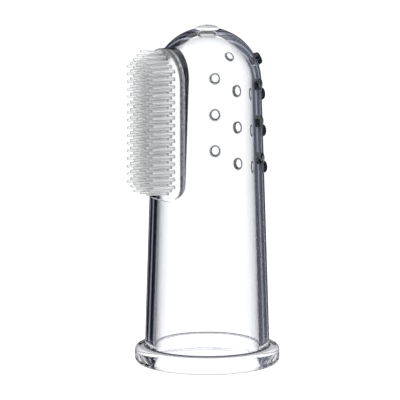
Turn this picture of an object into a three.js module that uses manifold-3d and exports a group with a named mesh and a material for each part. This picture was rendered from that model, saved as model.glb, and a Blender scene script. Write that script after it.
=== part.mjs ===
// Finger toothbrush: a thimble of clear silicone that slips over a fingertip.
// Units are millimetres, +Z is up. The origin is on the sleeve's axis at the open mouth,
// and the bristles face -Y. The whole object is one moulding, so each node is one of its
// moulded features, and neighbouring features keep a hairline seam between their solids.

import * as THREE from 'three';
import { mergeVertices } from 'three/addons/utils/BufferGeometryUtils.js';
import Module from 'manifold-3d';

const wasm = await Module();
wasm.setup();

// Driving dimensions
const ROUND_SIDES = 48;         // facets round the sleeve and the ring
const SEAM = 0.05;              // hairline between neighbouring features

const RING_RADIUS = 12.0;       // bead round the mouth
const RING_HEIGHT = 2.8;
const RING_EDGE = 0.75;         // rounding of its outer edges
const MOUTH_RADIUS = 8.7;       // finger opening

const SLEEVE_FOOT_RADIUS = 10.35;
const SLEEVE_TOP_RADIUS = 8.95; // also the radius of the domed end
const DOME_CENTRE_Z = 47.1;
const WALL = 1.5;               // at the domed end
const DOME_STEPS = 8;

const BOSS_RADIUS = 1.95;       // gate mark on the crown
const BOSS_HEIGHT = 0.45;

const PAD_FACE_Y = -9.0;        // flat plate that carries the bristles
const PAD_SEAT_Y = -8.45;       // flat in the sleeve's wall that the plate is let into
const PAD_BACK_Y = -5.5;        // of the plate's blank, before the sleeve is cut from it
const PAD_HALF_WIDTH = 5.4;
const PAD_LOW_Z = 28.5;
const PAD_HIGH_Z = 53.3;
const PAD_CORNER = 2.6;         // rounding of the lower corners
const PAD_HIGH_ARC = 5.5;       // height of the rounded upper end
const PAD_FLAT = 0.4;           // how far the sleeve is flattened round the plate
const PAD_PROUD = 0.02;         // how far the face stands out of that flat

const COMB_COUNT = 9;           // upright columns of bristles
const COMB_PITCH = 0.983;
const COMB_RIB_WIDTH = 0.66;    // low rib that a column stands on
const COMB_RIB_HEIGHT = 0.12;
const BRISTLE_PITCH = 1.283;    // up one column, alternate columns half a pitch apart
const BRISTLE_LENGTH = 4.2;
const BRISTLE_RADIUS = 0.27;
const BRISTLE_SIDES = 6;
const BRISTLE_FIRST_Z = 29.5;   // lowest bristle of the middle column
const FIELD_LOW_Z = 29.4;       // lower limit of the middle column
const FIELD_LOW_RISE = 1.25;    // how much higher the outermost columns start
const FIELD_HIGH_Z = 52.7;      // upper limit of the middle column
const FIELD_HIGH_DROP = 2.5;    // how much lower the outermost columns end
const BRISTLE_LEAN = 0.045;     // upward lean, radians
const TOP_LEAN = 0.1;           // extra lean of the highest bristles

const NUB_RADIUS = 1.05;        // soft massage nubs on the back
const NUB_HEIGHT = 0.8;
const NUB_SIDES = 12;
const NUB_ROW_PITCH = 6.14;
const NUB_ROWS = 3;
const NUB_COLUMNS = [           // angle from the middle of the back, and top row's height
  { name: 'outer_left', angle: 48, top: 46.2 },
  { name: 'inner_left', angle: 19, top: 44.4 },
  { name: 'inner_right', angle: -18, top: 44.65 },
  { name: 'outer_right', angle: -57, top: 47.2 },
];
const DOME_NUB_ANGLES = { left: 26, right: -30 };
const DOME_NUB_LATITUDE = 24.5;

const INSIDE = 1.2;             // how far a cutting blank reaches into the sleeve

// Materials
const clearSilicone = () => new THREE.MeshStandardMaterial({
  color: 0xe9eef2, roughness: 0.12, metalness: 0, transparent: true, opacity: 0.35,
});
const bristleSilicone = () => new THREE.MeshStandardMaterial({
  color: 0xdfe5ea, roughness: 0.2, metalness: 0, transparent: true, opacity: 0.6,
});

// Solids for cutting and joining
function toManifold(geometry) {
  const bare = geometry.index ? geometry.toNonIndexed() : geometry.clone();
  bare.deleteAttribute('normal');
  bare.deleteAttribute('uv');
  const merged = mergeVertices(bare, 1e-5);
  return new wasm.Manifold(new wasm.Mesh({
    numProp: 3,
    vertProperties: new Float32Array(merged.attributes.position.array),
    triVerts: new Uint32Array(merged.index.array),
  }));
}

function toGeometry(manifold) {
  const mesh = manifold.getMesh();
  const geometry = new THREE.BufferGeometry();
  geometry.setAttribute('position', new THREE.BufferAttribute(mesh.vertProperties, 3));
  geometry.setIndex(new THREE.BufferAttribute(mesh.triVerts, 1));
  geometry.computeVertexNormals();
  return geometry;
}

// A profile of [radius, height] points turned round the Z axis
function turned(points, sides) {
  const profile = points.map(([radius, height]) => new THREE.Vector2(radius, height));
  return new THREE.LatheGeometry(profile, sides).rotateX(Math.PI / 2);
}

function arc(centreR, centreZ, radius, from, to, steps) {
  return Array.from({ length: steps + 1 }, (_, i) => {
    const angle = from + ((to - from) * i) / steps;
    return [centreR + radius * Math.cos(angle), centreZ + radius * Math.sin(angle)];
  });
}

// Quarter circle from the wall up to the axis, ending exactly on it
function domeArc(radius) {
  const points = arc(0, DOME_CENTRE_Z, radius, 0, Math.PI / 2, DOME_STEPS);
  points[DOME_STEPS][0] = 0;
  return points;
}

function sleeveRadius(z) {
  if (z > DOME_CENTRE_Z) {
    return Math.sqrt(Math.max(0, SLEEVE_TOP_RADIUS ** 2 - (z - DOME_CENTRE_Z) ** 2));
  }
  const share = (z - RING_HEIGHT) / (DOME_CENTRE_Z - RING_HEIGHT);
  return SLEEVE_FOOT_RADIUS + (SLEEVE_TOP_RADIUS - SLEEVE_FOOT_RADIUS) * share;
}

// The hollow sleeve, flattened round the pad and cut out for the pad's plate
function fingerSleeve() {
  const inner = domeArc(SLEEVE_TOP_RADIUS - WALL).reverse();
  const outer = domeArc(SLEEVE_TOP_RADIUS);
  const foot = RING_HEIGHT + SEAM;
  const profile = [...inner, [MOUTH_RADIUS, foot], [SLEEVE_FOOT_RADIUS, foot], ...outer];
  const flattened = toManifold(turned(profile, ROUND_SIDES))
    .subtract(padPrism(PAD_FLAT, PAD_FACE_Y + PAD_PROUD, PAD_FACE_Y - 3));
  return toGeometry(flattened.subtract(padPrism(SEAM, PAD_SEAT_Y + SEAM, PAD_FACE_Y - 3)));
}

// The sleeve's outside, filled in and grown by the seam
function sleeveBlank() {
  const outer = domeArc(SLEEVE_TOP_RADIUS + SEAM);
  const foot = [[0, RING_HEIGHT], [SLEEVE_FOOT_RADIUS + SEAM, RING_HEIGHT]];
  return toManifold(turned([...foot, ...outer], ROUND_SIDES));
}

function baseRing() {
  const edge = RING_RADIUS - RING_EDGE;
  const low = arc(edge, RING_EDGE, RING_EDGE, -Math.PI / 2, 0, 3);
  const high = arc(edge, RING_HEIGHT - RING_EDGE, RING_EDGE, 0, Math.PI / 2, 3);
  low[0][1] = 0;
  high[3][1] = RING_HEIGHT;
  const bore = [[MOUTH_RADIUS, RING_HEIGHT], [MOUTH_RADIUS, 0]];
  return turned([...low, ...high, ...bore, low[0]], ROUND_SIDES);
}

// The gate mark: a low lens on the crown
function crownBoss(blank) {
  const crown = DOME_CENTRE_Z + SLEEVE_TOP_RADIUS;
  const edgeZ = sleeveCrownZ(BOSS_RADIUS) + SEAM;
  const rise = crown + BOSS_HEIGHT - edgeZ;
  const lens = Array.from({ length: 8 }, (_, i) => {
    const angle = (i * Math.PI) / 14;
    return [BOSS_RADIUS * Math.cos(angle), edgeZ + rise * Math.sin(angle)];
  });
  lens[7][0] = 0;
  const profile = [[0, crown - INSIDE], [BOSS_RADIUS, crown - INSIDE], ...lens];
  return toGeometry(toManifold(turned(profile, 24)).subtract(blank));
}

function sleeveCrownZ(radius) {
  return DOME_CENTRE_Z + Math.sqrt(SLEEVE_TOP_RADIUS ** 2 - radius ** 2);
}

// The pad's outline, grown by an offset: rounded lower corners and an elliptical upper end
function padOutline(grow) {
  const high = PAD_HIGH_Z - PAD_HIGH_ARC;
  const half = PAD_HALF_WIDTH + grow;
  const corner = PAD_CORNER + grow;
  const cornerX = PAD_HALF_WIDTH - PAD_CORNER;
  const cornerZ = PAD_LOW_Z + PAD_CORNER;
  const shape = new THREE.Shape();
  shape.absellipse(0, high, half, PAD_HIGH_ARC + grow, 0, Math.PI, false);
  shape.absarc(-cornerX, cornerZ, corner, Math.PI, 1.5 * Math.PI, false);
  shape.absarc(cornerX, cornerZ, corner, 1.5 * Math.PI, 2 * Math.PI, false);
  return shape;
}

// The outline pushed out from one plane of constant y to another nearer the bristles
function padPrism(grow, fromY, toY) {
  const depth = fromY - toY;
  const prism = new THREE.ExtrudeGeometry(padOutline(grow), { depth, bevelEnabled: false, curveSegments: 12 });
  // The shape's x and y become the part's x and z, and the depth runs towards -Y
  return toManifold(prism.rotateX(Math.PI / 2).translate(0, fromY, 0));
}

function bristlePad(blank) {
  const seat = blank.subtract(padPrism(SEAM, PAD_SEAT_Y, PAD_FACE_Y - 3));
  return toGeometry(padPrism(0, PAD_BACK_Y, PAD_FACE_Y).subtract(seat));
}

// One bristle: a rod with a rounded tip that stands on the face and leans up a little
function bristle(x, z) {
  const sunk = 0.03;
  const round = BRISTLE_RADIUS * 0.8;
  const shoulder = BRISTLE_LENGTH - round;
  const profile = [
    [0, 0], [BRISTLE_RADIUS, 0], [BRISTLE_RADIUS, shoulder],
    [BRISTLE_RADIUS * 0.62, BRISTLE_LENGTH - round * 0.22], [0, BRISTLE_LENGTH],
  ];
  const lean = BRISTLE_LEAN + TOP_LEAN * THREE.MathUtils.smoothstep(z, 51, FIELD_HIGH_Z);
  const rod = turned(profile, BRISTLE_SIDES);
  rod.rotateX(Math.PI / 2 - lean).translate(x, PAD_FACE_Y - SEAM - sunk, z);
  return toManifold(rod);
}

// The bristle field is as wide as its columns, and rounds off at both ends
function bristleHeights(column) {
  const middle = (COMB_COUNT - 1) / 2;
  const outward = (column - middle) / middle;
  const low = FIELD_LOW_Z + FIELD_LOW_RISE * outward ** 4;
  const high = FIELD_HIGH_Z - FIELD_HIGH_DROP * outward ** 2;
  const shift = column % 2 ? BRISTLE_PITCH / 2 : 0;
  const heights = [];
  for (let z = BRISTLE_FIRST_Z + shift; z < high; z += BRISTLE_PITCH) {
    if (z >= low) heights.push(z);
  }
  return { x: (column - middle) * COMB_PITCH, heights };
}

function bristleComb(column) {
  const { x, heights } = bristleHeights(column);
  const reach = BRISTLE_RADIUS + 0.08;
  const low = heights[0] - reach;
  const high = heights[heights.length - 1] + reach;
  const rib = new THREE.BoxGeometry(COMB_RIB_WIDTH, COMB_RIB_HEIGHT, high - low);
  rib.translate(x, PAD_FACE_Y - SEAM - COMB_RIB_HEIGHT / 2, (low + high) / 2);
  return toGeometry(heights.reduce((comb, z) => comb.add(bristle(x, z)), toManifold(rib)));
}

// One nub: a low button whose foot is cut to the sleeve
function massageNub(blank, angle, place, normalTilt) {
  const bulge = arc(0, 0, 1, 0, Math.PI / 2, 4).map(([r, h]) => [r * NUB_RADIUS, h * NUB_HEIGHT]);
  bulge[4][0] = 0;
  const nub = turned([[0, -INSIDE], [NUB_RADIUS, -INSIDE], ...bulge], NUB_SIDES);
  nub.rotateX(-Math.PI / 2 + normalTilt).translate(0, place.radius, place.z);
  nub.rotateZ(THREE.MathUtils.degToRad(angle));
  return toGeometry(toManifold(nub).subtract(blank));
}

function wallNub(blank, angle, z) {
  const taper = (SLEEVE_FOOT_RADIUS - SLEEVE_TOP_RADIUS) / (DOME_CENTRE_Z - RING_HEIGHT);
  return massageNub(blank, angle, { radius: sleeveRadius(z), z }, Math.atan(taper));
}

function domeNub(blank, angle) {
  const tilt = THREE.MathUtils.degToRad(DOME_NUB_LATITUDE);
  const place = {
    radius: SLEEVE_TOP_RADIUS * Math.cos(tilt),
    z: DOME_CENTRE_Z + SLEEVE_TOP_RADIUS * Math.sin(tilt),
  };
  return massageNub(blank, angle, place, tilt);
}

// Assembly
const brush = new THREE.Group();

function place(name, geometry, material) {
  const mesh = new THREE.Mesh(geometry, material);
  mesh.name = name;
  brush.add(mesh);
}

const blank = sleeveBlank();
place('finger_sleeve', fingerSleeve(), clearSilicone());
place('base_ring', baseRing(), clearSilicone());
place('crown_boss', crownBoss(blank), clearSilicone());
place('bristle_pad', bristlePad(blank), clearSilicone());

for (let column = 0; column < COMB_COUNT; column += 1) {
  place(`bristle_comb_${column + 1}`, bristleComb(column), bristleSilicone());
}

for (const { name, angle, top } of NUB_COLUMNS) {
  for (let row = 0; row < NUB_ROWS; row += 1) {
    const nub = wallNub(blank, angle, top - row * NUB_ROW_PITCH);
    place(`massage_nub_${name}_${row + 1}`, nub, clearSilicone());
  }
}
for (const [side, angle] of Object.entries(DOME_NUB_ANGLES)) {
  place(`massage_nub_dome_${side}`, domeNub(blank, angle), clearSilicone());
}

export default brush;
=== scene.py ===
"""Looks of a finger toothbrush: one clear silicone moulding, shown as its moulded features.

Shapes are worked out in millimetres in the part's own frame and scaled to metres at the end.
Every feature is a closed mesh. Where two features grow out of each other, both have the same
faces there, with the material "seam" that light passes straight through, so the silicone is
optically one body, as the real moulding is.
"""

import math

import bmesh
import bpy
from mathutils import Matrix, Vector


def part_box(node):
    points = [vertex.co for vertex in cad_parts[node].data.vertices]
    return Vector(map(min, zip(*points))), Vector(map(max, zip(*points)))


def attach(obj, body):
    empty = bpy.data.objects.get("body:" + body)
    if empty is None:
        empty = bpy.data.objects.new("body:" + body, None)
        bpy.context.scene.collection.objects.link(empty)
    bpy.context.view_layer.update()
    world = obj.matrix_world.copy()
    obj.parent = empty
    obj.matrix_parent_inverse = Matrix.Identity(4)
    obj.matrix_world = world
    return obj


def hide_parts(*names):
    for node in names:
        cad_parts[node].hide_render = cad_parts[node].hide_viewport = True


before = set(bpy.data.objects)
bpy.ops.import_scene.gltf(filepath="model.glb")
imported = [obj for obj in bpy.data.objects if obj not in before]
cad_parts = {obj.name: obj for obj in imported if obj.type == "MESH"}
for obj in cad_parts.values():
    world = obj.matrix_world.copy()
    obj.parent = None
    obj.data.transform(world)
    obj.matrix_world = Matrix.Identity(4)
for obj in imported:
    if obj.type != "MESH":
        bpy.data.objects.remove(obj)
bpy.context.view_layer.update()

MM = 0.001

# Material slots of every feature: its own silicone; faces it shares with a feature that it has
# grown together with; the inside of a hollow that such a feature leaves, for a moment only;
# a side painted darker, as painted shade; a rim painted darkest, as painted shade; and faces that
# are shared from the start, where two features stand on each other.
CLEAR, SEAM, POCKET, SIDE, RIM, JOINT = range(6)

# ---------------------------------------------------------------- sizes, from the frame
ring_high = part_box("base_ring")[1] / MM
sleeve_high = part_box("finger_sleeve")[1] / MM
boss_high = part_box("crown_boss")[1] / MM
sleeve_rings = sorted({
    (round(v.co.z / MM, 2), round(math.hypot(v.co.x, v.co.y) / MM, 2))
    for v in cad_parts["finger_sleeve"].data.vertices
})

RING_RADIUS = ring_high.x
RING_HEIGHT = ring_high.z
RING_EDGE = 0.75
MOUTH_RADIUS = sleeve_rings[0][1]
FOOT_RADIUS = sleeve_high.x
DOME_RADIUS = 8.95
DOME_Z = sleeve_high.z - DOME_RADIUS
WALL = 1.5
BOSS_RADIUS = boss_high.x
BOSS_TOP = boss_high.z
ROOT_FILLET = 0.2               # between the ring and the sleeve
MOUTH_EDGE = 0.3                # rounding of the mouth
SIDES = 144

PAD_FACE = 9.0                  # the plate's face, towards -Y
PAD_HALF_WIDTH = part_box("bristle_pad")[1].x / MM
PAD_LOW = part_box("bristle_pad")[0].z / MM
PAD_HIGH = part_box("bristle_pad")[1].z / MM
PAD_CORNER = 2.6
PAD_HIGH_ARC = 5.5
PAD_EDGE = 0.28
PAD_FLAT = 0.4                  # the sleeve is flattened round the plate
PAD_PROUD = 0.02                # how far the plate stands out of that flat
PAD_SIDE_BAND = 8.3             # where the plate's side starts to be painted grey, as painted shade and where the plate's foot stops being painted near-black, as painted shade
PAD_FOOT_BAND = 7.8             # and where its foot looks darker
ROOT_DEPTH = 1.0                # how deep the plate's root reaches into the wall
HALF_STRIPS = 4                 # strips across each half of the plate

COMBS = 9                       # columns of bristles
BRISTLE_PITCH = 1.283
BRISTLE_LENGTH = 4.2
BRISTLE_ROOT_RADIUS = 0.285
BRISTLE_TIP_RADIUS = 0.245
BRISTLE_FIRST = 29.5
BRISTLE_LEAN = 0.045            # upwards, in radians
TOP_LEAN = 0.1                  # more of it for the bristles near the top
TOP_LEAN_FROM = 51
FIELD_LOW = 29.4                # the middle column's ends, and what the outer columns lose
FIELD_LOW_RISE = 1.25
FIELD_HIGH = 52.7
FIELD_HIGH_DROP = 2.5

NUB_RADIUS = 1.05
NUB_HEIGHT = 0.8
NUB_POWER = 0.62                # 1 is a half ellipse, and less is a fuller button
NUB_RIM = 0.62                  # share of the radius where the rim's painted dark shade starts


# ---------------------------------------------------------------- materials
def make_silicone(name, tint, roughness, milk, rim):
    """Clear silicone with the faint waviness and fine dust-like grain of a soft moulding.

    milk is the share of light the silicone scatters. rim is (facing where the edge tint starts,
    facing where it is full, the edge tint): painted shade, the base colour darkened where a
    surface turns edge-on, standing in for the dark outlines that a dark surround gives clear
    silicone.
    """
    material = bpy.data.materials.new(name)
    material.use_nodes = True
    nodes, links = material.node_tree.nodes, material.node_tree.links
    shader = nodes["Principled BSDF"]
    shader.inputs["Transmission Weight"].default_value = 1 - milk
    shader.inputs["IOR"].default_value = 1.41
    shader.inputs["Specular IOR Level"].default_value = 0.5

    place = nodes.new("ShaderNodeTexCoord")
    tone = nodes.new("ShaderNodeTexNoise")
    tone.inputs["Scale"].default_value = 90
    tone.inputs["Detail"].default_value = 2
    shade = nodes.new("ShaderNodeMix")
    shade.data_type = "RGBA"
    shade.inputs["A"].default_value = (*tint, 1)
    shade.inputs["B"].default_value = (*(c * 0.985 for c in tint), 1)
    links.new(place.outputs["Object"], tone.inputs["Vector"])
    links.new(tone.outputs["Fac"], shade.inputs["Factor"])

    # Painted shade: where the surface turns edge-on, the base colour is multiplied towards the
    # edge tint.
    facing = nodes.new("ShaderNodeLayerWeight")
    facing.inputs["Blend"].default_value = 0.5
    painted_edge_shade = nodes.new("ShaderNodeMapRange")
    painted_edge_shade.inputs["From Min"].default_value = rim[0]
    painted_edge_shade.inputs["From Max"].default_value = rim[1]
    edge = nodes.new("ShaderNodeMix")
    edge.data_type = "RGBA"
    edge.blend_type = "MULTIPLY"
    edge.inputs["B"].default_value = (*rim[2], 1)
    links.new(facing.outputs["Facing"], painted_edge_shade.inputs["Value"])
    links.new(painted_edge_shade.outputs["Result"], edge.inputs["Factor"])
    links.new(shade.outputs["Result"], edge.inputs["A"])
    links.new(edge.outputs["Result"], shader.inputs["Base Color"])

    grain = nodes.new("ShaderNodeTexNoise")
    grain.inputs["Scale"].default_value = 1400
    spread = nodes.new("ShaderNodeMapRange")
    spread.inputs["To Min"].default_value = roughness * 0.6
    spread.inputs["To Max"].default_value = roughness * 1.4
    links.new(place.outputs["Object"], grain.inputs["Vector"])
    links.new(grain.outputs["Fac"], spread.inputs["Value"])
    links.new(spread.outputs["Result"], shader.inputs["Roughness"])

    wave = nodes.new("ShaderNodeTexNoise")
    wave.inputs["Scale"].default_value = 260
    wave.inputs["Detail"].default_value = 1
    bump = nodes.new("ShaderNodeBump")
    bump.inputs["Strength"].default_value = 0.25
    bump.inputs["Distance"].default_value = 0.00004
    links.new(place.outputs["Object"], wave.inputs["Vector"])
    links.new(wave.outputs["Fac"], bump.inputs["Height"])
    links.new(bump.outputs["Normal"], shader.inputs["Normal"])
    return material


def make_seam():
    """Where two features are one silicone: nothing happens to the light."""
    material = bpy.data.materials.new("seam")
    material.use_nodes = True
    nodes, links = material.node_tree.nodes, material.node_tree.links
    nodes.remove(nodes["Principled BSDF"])
    through = nodes.new("ShaderNodeBsdfTransparent")
    links.new(through.outputs["BSDF"], nodes["Material Output"].inputs["Surface"])
    return material


# ---------------------------------------------------------------- meshes
def new_object(name, mesh):
    obj = bpy.data.objects.new(name, mesh)
    bpy.context.scene.collection.objects.link(obj)
    return obj


def to_object(name, shape):
    """A piece from a bmesh in millimetres, with the working slots."""
    bmesh.ops.recalc_face_normals(shape, faces=shape.faces)
    mesh = bpy.data.meshes.new(name)
    shape.to_mesh(mesh)
    shape.free()
    for material in working_slots:
        mesh.materials.append(material)
    return new_object(name, mesh)


def turn(profile, sides=SIDES, place=Matrix.Identity(4)):
    """A profile of (radius, height, slot of the band up to the next point) turned round Z."""
    shape = bmesh.new()
    rings = []
    for radius, height, _ in profile:
        if radius < 1e-6:
            rings.append([shape.verts.new(place @ Vector((0, 0, height)))] * sides)
            continue
        angles = (2 * math.pi * i / sides for i in range(sides))
        points = [Vector((radius * math.cos(a), radius * math.sin(a), height)) for a in angles]
        rings.append([shape.verts.new(place @ p) for p in points])
    closed = profile[0][0] > 1e-6
    for k in range(len(rings) if closed else len(rings) - 1):
        low, high = rings[k], rings[(k + 1) % len(rings)]
        for i in range(sides):
            j = (i + 1) % sides
            corners = list(dict.fromkeys((low[i], low[j], high[j], high[i])))
            face = shape.faces.new(corners)
            face.material_index = profile[k][2]
    return shape


def arc(centre, radius, start, end, steps, slot=CLEAR):
    """Points of an arc, as (radius from the axis, height, slot); angles in degrees."""
    points = []
    for k in range(steps + 1):
        a = math.radians(start + (end - start) * k / steps)
        points.append((centre[0] + radius * math.cos(a), centre[1] + radius * math.sin(a), slot))
    return points


def line(start, end, steps, slot=CLEAR):
    """Points from start up to, but not including, end."""
    (r0, z0), (r1, z1) = start, end
    return [(r0 + (r1 - r0) * k / steps, z0 + (z1 - z0) * k / steps, slot) for k in range(steps)]


def sleeve_radius(z):
    """The sleeve's outer radius at a height, on the cone or on the dome."""
    if z > DOME_Z:
        return math.sqrt(max(0, DOME_RADIUS ** 2 - (z - DOME_Z) ** 2))
    return FOOT_RADIUS + (DOME_RADIUS - FOOT_RADIUS) * (z - RING_HEIGHT) / (DOME_Z - RING_HEIGHT)


def boss_edge_z():
    """The dome's height where the gate mark's edge meets it."""
    return DOME_Z + math.sqrt(DOME_RADIUS ** 2 - BOSS_RADIUS ** 2)


def sleeve_shape():
    """Cone and dome with the finger's hollow, standing on the ring."""
    fillet_z = RING_HEIGHT + ROOT_FILLET
    fillet_r = sleeve_radius(fillet_z) + ROOT_FILLET
    crown = math.degrees(math.acos(BOSS_RADIUS / DOME_RADIUS))
    inner = DOME_RADIUS - WALL
    hollow = arc((0, DOME_Z), inner, 90, 0, 26)
    hollow[0] = (0, DOME_Z + inner, CLEAR)
    return turn(
        hollow[:-1]
        + line((inner, DOME_Z), (MOUTH_RADIUS, RING_HEIGHT), 40)
        + line((MOUTH_RADIUS, RING_HEIGHT), (fillet_r, RING_HEIGHT), 1, JOINT)
        # the root fillet is painted near-black: painted shade
        + arc((fillet_r, fillet_z), ROOT_FILLET, 270, 180, 6, RIM)[:-1]
        + line((sleeve_radius(fillet_z), fillet_z), (DOME_RADIUS, DOME_Z), 56)
        + arc((0, DOME_Z), DOME_RADIUS, 0, crown, 24)[:-1]
        + [(BOSS_RADIUS, boss_edge_z(), JOINT), (0, boss_edge_z(), JOINT)]
    )


def ring_shape():
    """The bead round the mouth, with rounded edges."""
    fillet_r = sleeve_radius(RING_HEIGHT + ROOT_FILLET) + ROOT_FILLET
    edge = RING_RADIUS - RING_EDGE
    return turn(
        line((MOUTH_RADIUS + MOUTH_EDGE, 0), (edge, 0), 3)
        # the ring's lower outer edge is painted near-black: painted shade
        + arc((edge, RING_EDGE), RING_EDGE, 270, 310, 4, RIM)[:-1]
        + arc((edge, RING_EDGE), RING_EDGE, 310, 360, 5)
        + arc((edge, RING_HEIGHT - RING_EDGE), RING_EDGE, 0, 90, 8)[:-1]
        + line((edge, RING_HEIGHT), (fillet_r, RING_HEIGHT), 2)
        + line((fillet_r, RING_HEIGHT), (MOUTH_RADIUS, RING_HEIGHT), 1, JOINT)
        + line((MOUTH_RADIUS, RING_HEIGHT), (MOUTH_RADIUS, MOUTH_EDGE), 4)
        + arc((MOUTH_RADIUS + MOUTH_EDGE, MOUTH_EDGE), MOUTH_EDGE, 180, 270, 4)[:-1]
    )


def boss_shape():
    """Gate mark: a low lens on the crown."""
    base = boss_edge_z()
    rise = BOSS_TOP - base
    lens = [(BOSS_RADIUS * math.cos(a), base + rise * math.sin(a), CLEAR)
            for a in (math.radians(6 * k) for k in range(15))]
    return turn([(0, base, JOINT)] + lens + [(0, BOSS_TOP, CLEAR)])


def pad_outline(inset):
    """The plate's outline as (x, z) from the middle of its lower end up the right side to its
    top, then down the left side: point k from the start mirrors point k from the end."""
    half = PAD_HALF_WIDTH - inset
    corner_x, corner_z = PAD_HALF_WIDTH - PAD_CORNER, PAD_LOW + PAD_CORNER
    high = PAD_HIGH - PAD_HIGH_ARC
    right = [(corner_x * k / HALF_STRIPS, PAD_LOW + inset) for k in range(HALF_STRIPS)]
    for k in range(9):
        a = math.radians(90 * k / 9)
        radius = PAD_CORNER - inset
        right.append((corner_x + radius * math.sin(a), corner_z - radius * math.cos(a)))
    right += [(half, corner_z + (high - corner_z) * k / 26) for k in range(26)]
    for k in range(25):
        a = math.radians(90 * k / 24)
        right.append((half * math.cos(a), high + (PAD_HIGH_ARC - inset) * math.sin(a)))
    right[-1] = (0, right[-1][1])
    return right + [(-x, z) for x, z in right[-2:0:-1]]


def pad_back(x, z):
    """How far the plate's root stands from the axis plane: a surface inside the sleeve's wall."""
    if z > DOME_Z:
        reach = (DOME_RADIUS - ROOT_DEPTH) ** 2 - (z - DOME_Z) ** 2
    else:
        reach = (sleeve_radius(z) - ROOT_DEPTH) ** 2
    return math.sqrt(reach - x * x)


def cap_outline(shape, loop, depth=None):
    """Closes a loop with rows across it, each row's inner points placed at a depth(x, z). The
    straight lower end is the first row."""
    count, strips = len(loop), 2 * HALF_STRIPS
    rows = [loop[HALF_STRIPS::-1] + loop[:-HALF_STRIPS - 1:-1]]
    for k in range(HALF_STRIPS + 1, count // 2):
        right, left = loop[k], loop[count - k]
        row = [right]
        for i in range(1, strips):
            x = right.co.x + (left.co.x - right.co.x) * i / strips
            y = -depth(x, right.co.z) if depth else right.co.y
            row.append(shape.verts.new((x, y, right.co.z)))
        rows.append(row + [left])
    rows.append([loop[count // 2]] * (strips + 1))
    for low, high in zip(rows, rows[1:]):
        for i in range(strips):
            corners = list(dict.fromkeys((low[i], low[i + 1], high[i + 1], high[i])))
            if len(corners) > 2:
                shape.faces.new(corners)


def pad_shape():
    """The plate: a flat face with a rounded rim, and a root that follows the sleeve's wall."""
    shape = bmesh.new()
    loops = []
    for depth, clearance in ((0, 0), (PAD_FOOT_BAND, 0.02), (PAD_SIDE_BAND, 0.05)):
        loops.append([shape.verts.new((x, -max(depth, pad_back(x, z) + clearance), z))
                      for x, z in pad_outline(0)])
    for k in range(6):
        a = math.radians(90 * k / 5)
        inset, depth = PAD_EDGE * (1 - math.cos(a)), PAD_EDGE * (1 - math.sin(a))
        loops.append([shape.verts.new((x, -(PAD_FACE - depth), z)) for x, z in pad_outline(inset)])
    # The plate's foot is painted near-black and its side grey: painted shade.
    join_loops(shape, loops[:2], RIM)
    join_loops(shape, loops[1:3])
    join_loops(shape, loops[2:4], SIDE)
    join_loops(shape, loops[3:])
    cap_outline(shape, loops[-1])
    cap_outline(shape, loops[0], pad_back)
    return shape


def join_loops(shape, loops, slot=CLEAR):
    """Quads between each loop of vertices and the next one."""
    for low, high in zip(loops, loops[1:]):
        for i in range(len(low)):
            j = (i + 1) % len(low)
            face = shape.faces.new((low[i], low[j], high[j], high[i]))
            face.material_index = slot


def flat_shape():
    """What is cut off the sleeve round the plate, so that the plate has a flat to stand on."""
    shape = bmesh.new()
    outline = pad_outline(-PAD_FLAT)
    loops = [[shape.verts.new((x, -depth, z)) for x, z in outline]
             for depth in (PAD_FACE - PAD_PROUD, PAD_FACE + 3)]
    join_loops(shape, loops)
    for loop in loops:
        cap_outline(shape, loop)
    return shape


def nub_shape(centre):
    """A soft button with a small fillet at its foot and a root in the sleeve's wall."""
    angle = math.atan2(-centre.x, centre.y)
    flat = Vector((centre.x, centre.y)).length
    if centre.z > DOME_Z:
        tilt = math.atan2(centre.z - DOME_Z, flat)
        foot = Vector((0, DOME_RADIUS * math.cos(tilt), DOME_Z + DOME_RADIUS * math.sin(tilt)))
    else:
        tilt = math.atan((FOOT_RADIUS - DOME_RADIUS) / (DOME_Z - RING_HEIGHT))
        foot = Vector((0, sleeve_radius(centre.z), centre.z))
    place = (
        Matrix.Rotation(angle, 4, "Z")
        @ Matrix.Translation(foot)
        @ Matrix.Rotation(tilt - math.pi / 2, 4, "X")
    )
    bulge = [(NUB_RADIUS * math.sin(a) ** NUB_POWER, NUB_HEIGHT * math.cos(a) ** NUB_POWER)
             for a in (math.radians(6.2 * k) for k in range(1, 14))]
    profile = (
        [(0, NUB_HEIGHT, CLEAR)]
        # the button's outer rim and foot are painted near-black: painted shade
        + [(r, h, RIM if r > NUB_RIM * NUB_RADIUS else CLEAR) for r, h in bulge]
        + [(NUB_RADIUS + 0.02, 0.03, RIM), (NUB_RADIUS + 0.05, -0.05, CLEAR)]
        + [(NUB_RADIUS + 0.05, -0.5, CLEAR), (0, -0.5, CLEAR)]
    )
    return turn(profile, 32, place)


def bristle_heights(column):
    """Heights of a column's bristles: odd columns half a pitch up, and outer columns shorter."""
    middle = (COMBS - 1) / 2
    outward = (column - middle) / middle
    low = FIELD_LOW + FIELD_LOW_RISE * outward ** 4
    high = FIELD_HIGH - FIELD_HIGH_DROP * outward ** 2
    z = BRISTLE_FIRST + (BRISTLE_PITCH / 2 if column % 2 else 0)
    while z < high:
        if z >= low:
            yield z
        z += BRISTLE_PITCH


def smooth(value, low, high):
    """0 below low, 1 above high, and a smooth step between."""
    t = min(1, max(0, (value - low) / (high - low)))
    return t * t * (3 - 2 * t)


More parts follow.
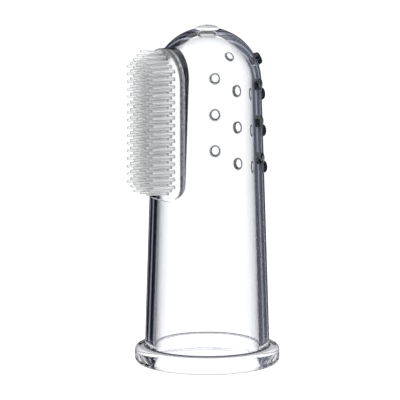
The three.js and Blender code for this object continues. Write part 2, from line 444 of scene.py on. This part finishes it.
def add_bristle(shape, x, z):
    """One tapered rod with a flared root and a round tip."""
    lean = BRISTLE_LEAN + TOP_LEAN * smooth(z, TOP_LEAN_FROM, FIELD_HIGH)
    place = Matrix.Translation((x, -PAD_FACE, z)) @ Matrix.Rotation(math.pi / 2 - lean, 4, "X")
    root, tip = BRISTLE_ROOT_RADIUS, BRISTLE_TIP_RADIUS
    shoulder = BRISTLE_LENGTH - tip
    profile = [(0, -0.12, CLEAR), (root + 0.07, -0.12, CLEAR), (root + 0.07, 0, CLEAR)]
    profile += [(root + 0.02, 0.05, CLEAR), (root, 0.14, CLEAR)]
    profile += line((root, 0.5), (tip, shoulder), 4)
    profile += arc((0, shoulder), tip, 0, 90, 5)[:-1] + [(0, BRISTLE_LENGTH, CLEAR)]
    rod = turn(profile, 14, place)
    mesh = bpy.data.meshes.new("rod")
    rod.to_mesh(mesh)
    rod.free()
    shape.from_mesh(mesh)
    bpy.data.meshes.remove(mesh)


def comb_shape(column, x):
    """One column of bristles."""
    shape = bmesh.new()
    for z in bristle_heights(column):
        add_bristle(shape, x, z)
    return shape


# ---------------------------------------------------------------- growing features together
def cut(obj, tools):
    """Takes each tool's solid away from obj, keeping every face's material slot."""
    for tool in tools:
        modifier = obj.modifiers.new("cut", "BOOLEAN")
        modifier.operation = "DIFFERENCE"
        modifier.solver = "MANIFOLD"
        modifier.object = tool
    evaluated = obj.evaluated_get(bpy.context.evaluated_depsgraph_get())
    mesh = bpy.data.meshes.new_from_object(evaluated)
    obj.modifiers.clear()
    obj.data = mesh


def copy_as(obj, slot):
    """A copy of obj whose faces all have one slot, to cut with."""
    tool = new_object("tool", obj.data.copy())
    tool.data.polygons.foreach_set("material_index", [slot] * len(tool.data.polygons))
    return tool


def grow(base, parts):
    """Makes parts grow together with base. Base keeps its shape, each part ends at its surface,
    and both have the same faces there."""
    base_tool = copy_as(base, SEAM)
    part_tools = [copy_as(p, POCKET) for p in parts]
    bpy.context.view_layer.update()
    cut(base, part_tools)
    for part in parts:
        cut(part, [base_tool])
    for tool in [base_tool, *part_tools]:
        bpy.data.objects.remove(tool)

    shape = bmesh.new()
    shape.from_mesh(base.data)
    pockets = [f for f in shape.faces if f.material_index == POCKET]
    bmesh.ops.delete(shape, geom=pockets, context="FACES")
    for part in parts:
        foot = bmesh.new()
        foot.from_mesh(part.data)
        others = [f for f in foot.faces if f.material_index != SEAM]
        bmesh.ops.delete(foot, geom=others, context="FACES")
        bmesh.ops.reverse_faces(foot, faces=foot.faces)
        mesh = bpy.data.meshes.new("foot")
        foot.to_mesh(mesh)
        foot.free()
        shape.from_mesh(mesh)
        bpy.data.meshes.remove(mesh)
    bmesh.ops.remove_doubles(shape, verts=shape.verts, dist=1e-4)
    shape.to_mesh(base.data)
    shape.free()


def finish_piece(obj, materials, slot, *nodes):
    """Scales to metres, sets smooth shading with sharp creases, and gives the piece its looks."""
    obj.data.transform(Matrix.Scale(MM, 4))
    shape = bmesh.new()
    shape.from_mesh(obj.data)
    for face in shape.faces:
        face.smooth = True
    for edge in shape.edges:
        edge.smooth = not (edge.is_manifold and edge.calc_face_angle(0) > math.radians(38))
    shape.to_mesh(obj.data)
    shape.free()
    slots = [face.material_index for face in obj.data.polygons]
    obj.data.materials.clear()
    for material in materials:
        obj.data.materials.append(material)
    obj.data.polygons.foreach_set("material_index", slots)
    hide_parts(*nodes)
    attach(obj, "root")


# ---------------------------------------------------------------- the object
# Each look's last tuple is its painted edge shade: dark outlines where a surface turns edge-on.
sleeve_look = make_silicone(
    "clear_silicone", (0.985, 0.99, 0.997), 0.02, 0.0, (0.4, 1.0, (0.2, 0.22, 0.27)))
plate_look = make_silicone(
    "plate_silicone", (0.985, 0.99, 0.997), 0.03, 0.15, (0.5, 1.0, (0.3, 0.32, 0.37)))
# Painted shade: a grey tint for the plate's side, where the silicone itself is clear.
side_shade_look = make_silicone(
    "plate_side_painted_shade", (0.4, 0.43, 0.49), 0.03, 0.1, (0.5, 1.0, (0.3, 0.32, 0.37)))
# Painted shade: a near-black tint for the buttons' rims, the plate's foot, the root fillet and the
# ring's lower edge, where the silicone itself is clear.
rim_shade_look = make_silicone(
    "rim_painted_shade", (0.01, 0.011, 0.016), 0.03, 0.0, (0.5, 1.0, (0.3, 0.32, 0.37)))
# The ring's edge tint is near-black: painted shade that makes the ring's ends dark.
ring_look = make_silicone(
    "ring_silicone", (0.985, 0.99, 0.997), 0.02, 0.0, (0.45, 0.9, (0.03, 0.033, 0.045)))
gate_look = make_silicone(
    "gate_silicone", (0.985, 0.99, 0.997), 0.05, 0.45, (0.85, 1.0, (0.4, 0.42, 0.46)))
bristle_look = make_silicone(
    "bristle_silicone", (0.995, 0.998, 1.0), 0.05, 0.28, (0.45, 0.95, (0.1, 0.11, 0.15)))
seam_look = make_seam()


def looks(main):
    """The materials of the slots, for a feature whose own material is main."""
    return [main, seam_look, main, side_shade_look, rim_shade_look, seam_look]


# While features are cut, every slot needs a material of its own: cuts match slots by material.
working_slots = [sleeve_look, seam_look, bristle_look, side_shade_look, rim_shade_look, gate_look]

sleeve = to_object("sleeve", sleeve_shape())
ring = to_object("mouth_ring", ring_shape())
boss = to_object("crown_gate_mark", boss_shape())
pad = to_object("pad_plate", pad_shape())
nub_nodes = sorted(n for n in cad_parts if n.startswith("massage_nub"))
nubs = []
for node in nub_nodes:
    low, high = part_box(node)
    nubs.append(to_object(node.replace("massage_", "soft_"), nub_shape((low + high) / 2 / MM)))
combs = []
for column in range(COMBS):
    low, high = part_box(f"bristle_comb_{column + 1}")
    shape = comb_shape(column, (low.x + high.x) / 2 / MM)
    combs.append(to_object(f"bristle_column_{column + 1}", shape))

flat = to_object("flat", flat_shape())
bpy.context.view_layer.update()
cut(sleeve, [flat])
bpy.data.objects.remove(flat)
grow(pad, [sleeve])             # the plate is let into the sleeve's wall
grow(sleeve, nubs)
grow(pad, combs)

finish_piece(sleeve, looks(sleeve_look), "clear_silicone", "finger_sleeve")
finish_piece(ring, looks(ring_look), "clear_silicone", "base_ring")
finish_piece(boss, looks(gate_look), "clear_silicone", "crown_boss")
finish_piece(pad, looks(plate_look), "clear_silicone", "bristle_pad")
for obj, node in zip(nubs, nub_nodes):
    finish_piece(obj, looks(sleeve_look), "clear_silicone", node)
for column, obj in enumerate(combs):
    finish_piece(obj, looks(bristle_look), "bristle_silicone", f"bristle_comb_{column + 1}")


# ---------------------------------------------------------------- studio
def add_floor():
    """White paper lit from below, so that the object throws no shadow on it."""
    bpy.ops.mesh.primitive_plane_add(size=6)
    floor = bpy.context.object
    floor.name = "floor"
    material = bpy.data.materials.new("floor")
    material.use_nodes = True
    shader = material.node_tree.nodes["Principled BSDF"]
    shader.inputs["Base Color"].default_value = (0, 0, 0, 1)
    shader.inputs["Specular IOR Level"].default_value = 0
    shader.inputs["Emission Color"].default_value = (1, 1, 1, 1)
    shader.inputs["Emission Strength"].default_value = 1.2
    floor.data.materials.append(material)


SURROUND_RADIUS = 0.018
SURROUND_HEIGHT = 0.068
SURROUND_PANELS = 16
FLOOR_RING = 0.0125             # inner radius of the dark paper on the floor
FLOOR_LIFT = 0.0002             # the paper's height above the floor
GREY_SHARE = 0.3                # of each panel's width, the rest is nearly black
SLATE_PANELS = (2, 3, 4, 5)     # these are dark grey instead of black
LAST_DARK_BOUNCE = 9.5          # a ray that has bounced more often than this passes through


def make_surround_look(name, color):
    """Dark where a ray has been reflected on its way, and nothing at all to any other ray."""
    material = bpy.data.materials.new(name)
    material.use_nodes = True
    nodes, links = material.node_tree.nodes, material.node_tree.links
    dark = nodes["Principled BSDF"]
    dark.inputs["Base Color"].default_value = (*color, 1)
    dark.inputs["Roughness"].default_value = 1
    dark.inputs["Specular IOR Level"].default_value = 0
    path = nodes.new("ShaderNodeLightPath")
    reflected = nodes.new("ShaderNodeMath")
    reflected.operation = "GREATER_THAN"
    reflected.inputs[1].default_value = 0.5
    early = nodes.new("ShaderNodeMath")
    early.operation = "LESS_THAN"
    early.inputs[1].default_value = LAST_DARK_BOUNCE
    both = nodes.new("ShaderNodeMath")
    both.operation = "MULTIPLY"
    through = nodes.new("ShaderNodeBsdfTransparent")
    either = nodes.new("ShaderNodeMixShader")
    links.new(path.outputs["Glossy Depth"], reflected.inputs[0])
    links.new(path.outputs["Ray Depth"], early.inputs[0])
    links.new(reflected.outputs["Value"], both.inputs[0])
    links.new(early.outputs["Value"], both.inputs[1])
    links.new(both.outputs["Value"], either.inputs["Fac"])
    links.new(through.outputs["BSDF"], either.inputs[1])
    links.new(dark.outputs["BSDF"], either.inputs[2])
    links.new(either.outputs["Shader"], nodes["Material Output"].inputs["Surface"])
    return material


def add_surround():
    """A dark curtain round the object, as a studio's black flags, in black and grey strips."""
    shape = bmesh.new()
    for k in range(SURROUND_PANELS):
        dark = 2 if k in SLATE_PANELS else 0
        edges = [k, k + 1 - GREY_SHARE, k + 1]
        for strip, slot in ((0, dark), (1, 1)):
            start, end = (2 * math.pi * edge / SURROUND_PANELS for edge in edges[strip:strip + 2])
            upright = ((SURROUND_RADIUS, 0), (SURROUND_RADIUS, SURROUND_HEIGHT))
            paper = ((FLOOR_RING, FLOOR_LIFT), (SURROUND_RADIUS, FLOOR_LIFT))
            for (r0, z0), (r1, z1) in (upright, paper):
                corners = ((r0, start, z0), (r0, end, z0), (r1, end, z1), (r1, start, z1))
                face = shape.faces.new([
                    shape.verts.new((r * math.cos(a), r * math.sin(a), z)) for r, a, z in corners
                ])
                face.material_index = slot
    mesh = bpy.data.meshes.new("surround")
    shape.to_mesh(mesh)
    shape.free()
    mesh.materials.append(make_surround_look("surround_black", (0.016, 0.018, 0.028)))
    mesh.materials.append(make_surround_look("surround_grey", (0.4, 0.42, 0.48)))
    mesh.materials.append(make_surround_look("surround_slate", (0.13, 0.14, 0.18)))
    surround = new_object("surround", mesh)
    surround.visible_camera = False
    surround.visible_diffuse = False
    surround.visible_shadow = False


def add_softbox(name, location, size, power):
    """A rectangular light that faces the middle of the object."""
    light = bpy.data.lights.new(name, "AREA")
    light.shape = "RECTANGLE"
    light.size, light.size_y = size
    light.energy = power
    box = new_object(name, light)
    box.location = location
    aim = Vector((0, 0, 0.028)) - Vector(location)
    box.rotation_euler = aim.to_track_quat("-Z", "Y").to_euler()


def add_world():
    """An even white surround of light."""
    world = bpy.data.worlds.new("studio")
    world.use_nodes = True
    background = world.node_tree.nodes["Background"]
    background.inputs["Color"].default_value = (1, 1, 1, 1)
    background.inputs["Strength"].default_value = 1.15
    bpy.context.scene.world = world


VIEW_AZIMUTH = 57               # degrees from straight in front of the bristles
CAMERA_REACH = 0.930            # on the ground, from the sleeve's axis
CAMERA_HEIGHT = 0.195
AIM_HEIGHT = 0.0272
AIM_LEFT = 0.0012
FRAME_WIDTH = 0.0662            # what the frame spans at the object


def add_camera():
    """A long lens, a little above the object."""
    a = math.radians(VIEW_AZIMUTH)
    right = Vector((math.cos(a), math.sin(a), 0))
    place = Vector((math.sin(a) * CAMERA_REACH, -math.cos(a) * CAMERA_REACH, CAMERA_HEIGHT))
    aim = Vector((0, 0, AIM_HEIGHT)) - right * AIM_LEFT
    lens = bpy.data.cameras.new("camera")
    camera = new_object("camera", lens)
    camera.location = place
    camera.rotation_euler = (aim - place).to_track_quat("-Z", "Y").to_euler()
    lens.sensor_width = 36
    lens.lens = 36 * (aim - place).length / FRAME_WIDTH
    lens.clip_start = 0.01
    bpy.context.scene.camera = camera


add_floor()
add_surround()
add_softbox("key_light", (-0.35, -0.5, 0.6), (0.5, 0.5), 2)
add_world()
add_camera()
bpy.context.scene.view_settings.view_transform = "Standard"
bpy.context.scene.cycles.max_bounces = 24
bpy.context.scene.cycles.transmission_bounces = 24
bpy.context.scene.cycles.glossy_bounces = 12
bpy.context.scene.cycles.transparent_max_bounces = 64
